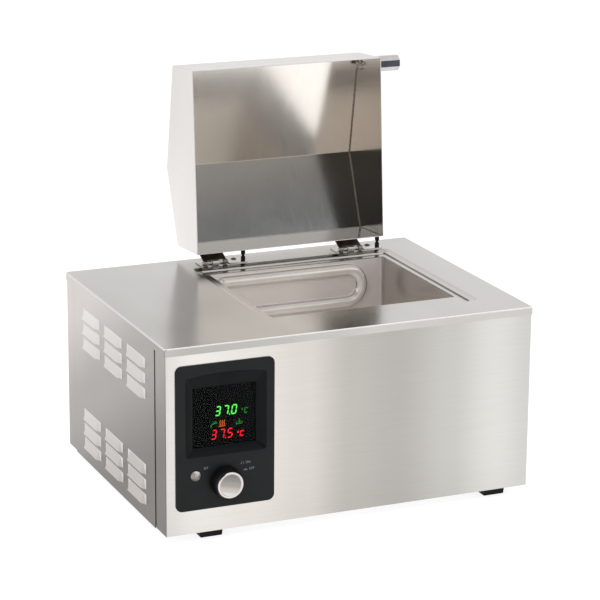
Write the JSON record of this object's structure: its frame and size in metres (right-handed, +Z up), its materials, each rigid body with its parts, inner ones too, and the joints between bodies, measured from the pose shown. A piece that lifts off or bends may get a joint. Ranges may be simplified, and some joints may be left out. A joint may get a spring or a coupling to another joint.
{
  "type": "laboratory water bath",
  "caption": "Bench-top water bath: brushed steel housing with louvred side, recessed tank, gabled hinged lid standing open, and a black control panel with knob, button and digit display.",
  "frame": {"origin": "centre of the housing at the level of the bench, in the plane of the four feet's undersides", "axes": "+Z up, -Y the front with the controls, +X to the right seen from the front; the lid stands open at rest"},
  "size_m": [0.4716, 0.44, 0.4852],
  "materials": {
    "brushed_steel": "satin",
    "tank_steel": "satin",
    "polished_steel": "polished",
    "zinc_plated_steel": "satin",
    "heater_sheath": "matte",
    "white_ceramic": "matte",
    "mineral_wool": "matte",
    "black_plastic": "matte",
    "smoked_window": "gloss",
    "digit_module": "gloss",
    "circuit_board": "satin",
    "knob_metal": "satin",
    "button_metal": "satin",
    "brass": "satin",
    "dark_iron": "matte",
    "copper_winding": "satin",
    "aluminium": "satin",
    "cream_plastic": "matte",
    "blue_plastic": "satin",
    "rubber": "matte"
  },
  "bodies": {
    "housing": {"top_plate": "brushed_steel", "front_panel": "brushed_steel", "rear_panel": "brushed_steel", "left_side_panel": "brushed_steel", "right_side_panel": "brushed_steel", "inner_tank": "tank_steel", "base_tray": "zinc_plated_steel", "partition_plate": "zinc_plated_steel", "foot_screws": "zinc_plated_steel", "rear_screws": "polished_steel", "heater_element": "heater_sheath", "heater_terminals": "white_ceramic", "heater_clamp": "zinc_plated_steel", "tank_insulation": "mineral_wool", "temperature_sensor": "polished_steel", "overheat_cutout": "white_ceramic", "hinge_screws": "polished_steel", "control_bezel": "black_plastic", "display_window": "smoked_window", "display_module": "digit_module", "display_board": "circuit_board", "board_screws": "zinc_plated_steel", "encoder_body": "zinc_plated_steel", "bush_nut": "polished_steel", "button_switch": "black_plastic", "transformer_core": "dark_iron", "transformer_coil": "copper_winding", "control_board": "circuit_board", "board_standoffs": "brass", "relay": "blue_plastic", "capacitors": "black_plastic", "heat_sink": "aluminium", "power_switch_module": "black_plastic", "terminal_block": "cream_plastic", "mains_inlet": "black_plastic", "inlet_pins": "brass", "hinge_base_left": "polished_steel", "hinge_base_right": "polished_steel", "hinge_pin_left": "polished_steel", "hinge_pin_right": "polished_steel", "lid_stop_left": "rubber", "lid_stop_right": "rubber", "foot_front_left": "rubber", "foot_front_right": "rubber", "foot_rear_left": "rubber", "foot_rear_right": "rubber"},
    "lid": {"lid_shell": "brushed_steel", "lid_left_end": "brushed_steel", "lid_right_end": "brushed_steel", "lid_handle": "polished_steel", "handle_collar": "aluminium", "handle_screw": "polished_steel", "hinge_leaf_left": "polished_steel", "hinge_leaf_right": "polished_steel"},
    "plunger": {"encoder_plunger": "brass"},
    "knob": {"knob_spindle": "brass", "knob_skirt": "black_plastic", "knob_cap": "knob_metal"},
    "button": {"set_button": "button_metal"}
  },
  "joints": [
    {"name": "lid_hinge", "type": "hinge", "parent": "housing", "child": "lid", "pos_m": [0.0539, 0.1385, 0.2414], "axis": [1, 0, 0], "range_deg": [0, 94.1]},
    {"name": "knob_push", "type": "slide", "parent": "housing", "child": "plunger", "axis": [0, 1, 0], "range_m": [0, 0.001], "stiffness_N_per_m": 600, "springref_m": -0.004},
    {"name": "knob_turn", "type": "hinge", "parent": "plunger", "child": "knob", "pos_m": [-0.1614, -0.1804, 0.0732], "axis": [0, 1, 0], "continuous": true},
    {"name": "set_button_press", "type": "slide", "parent": "housing", "child": "button", "axis": [0, 1, 0], "range_m": [0, 0.0015], "stiffness_N_per_m": 600, "springref_m": -0.003}
  ]
}
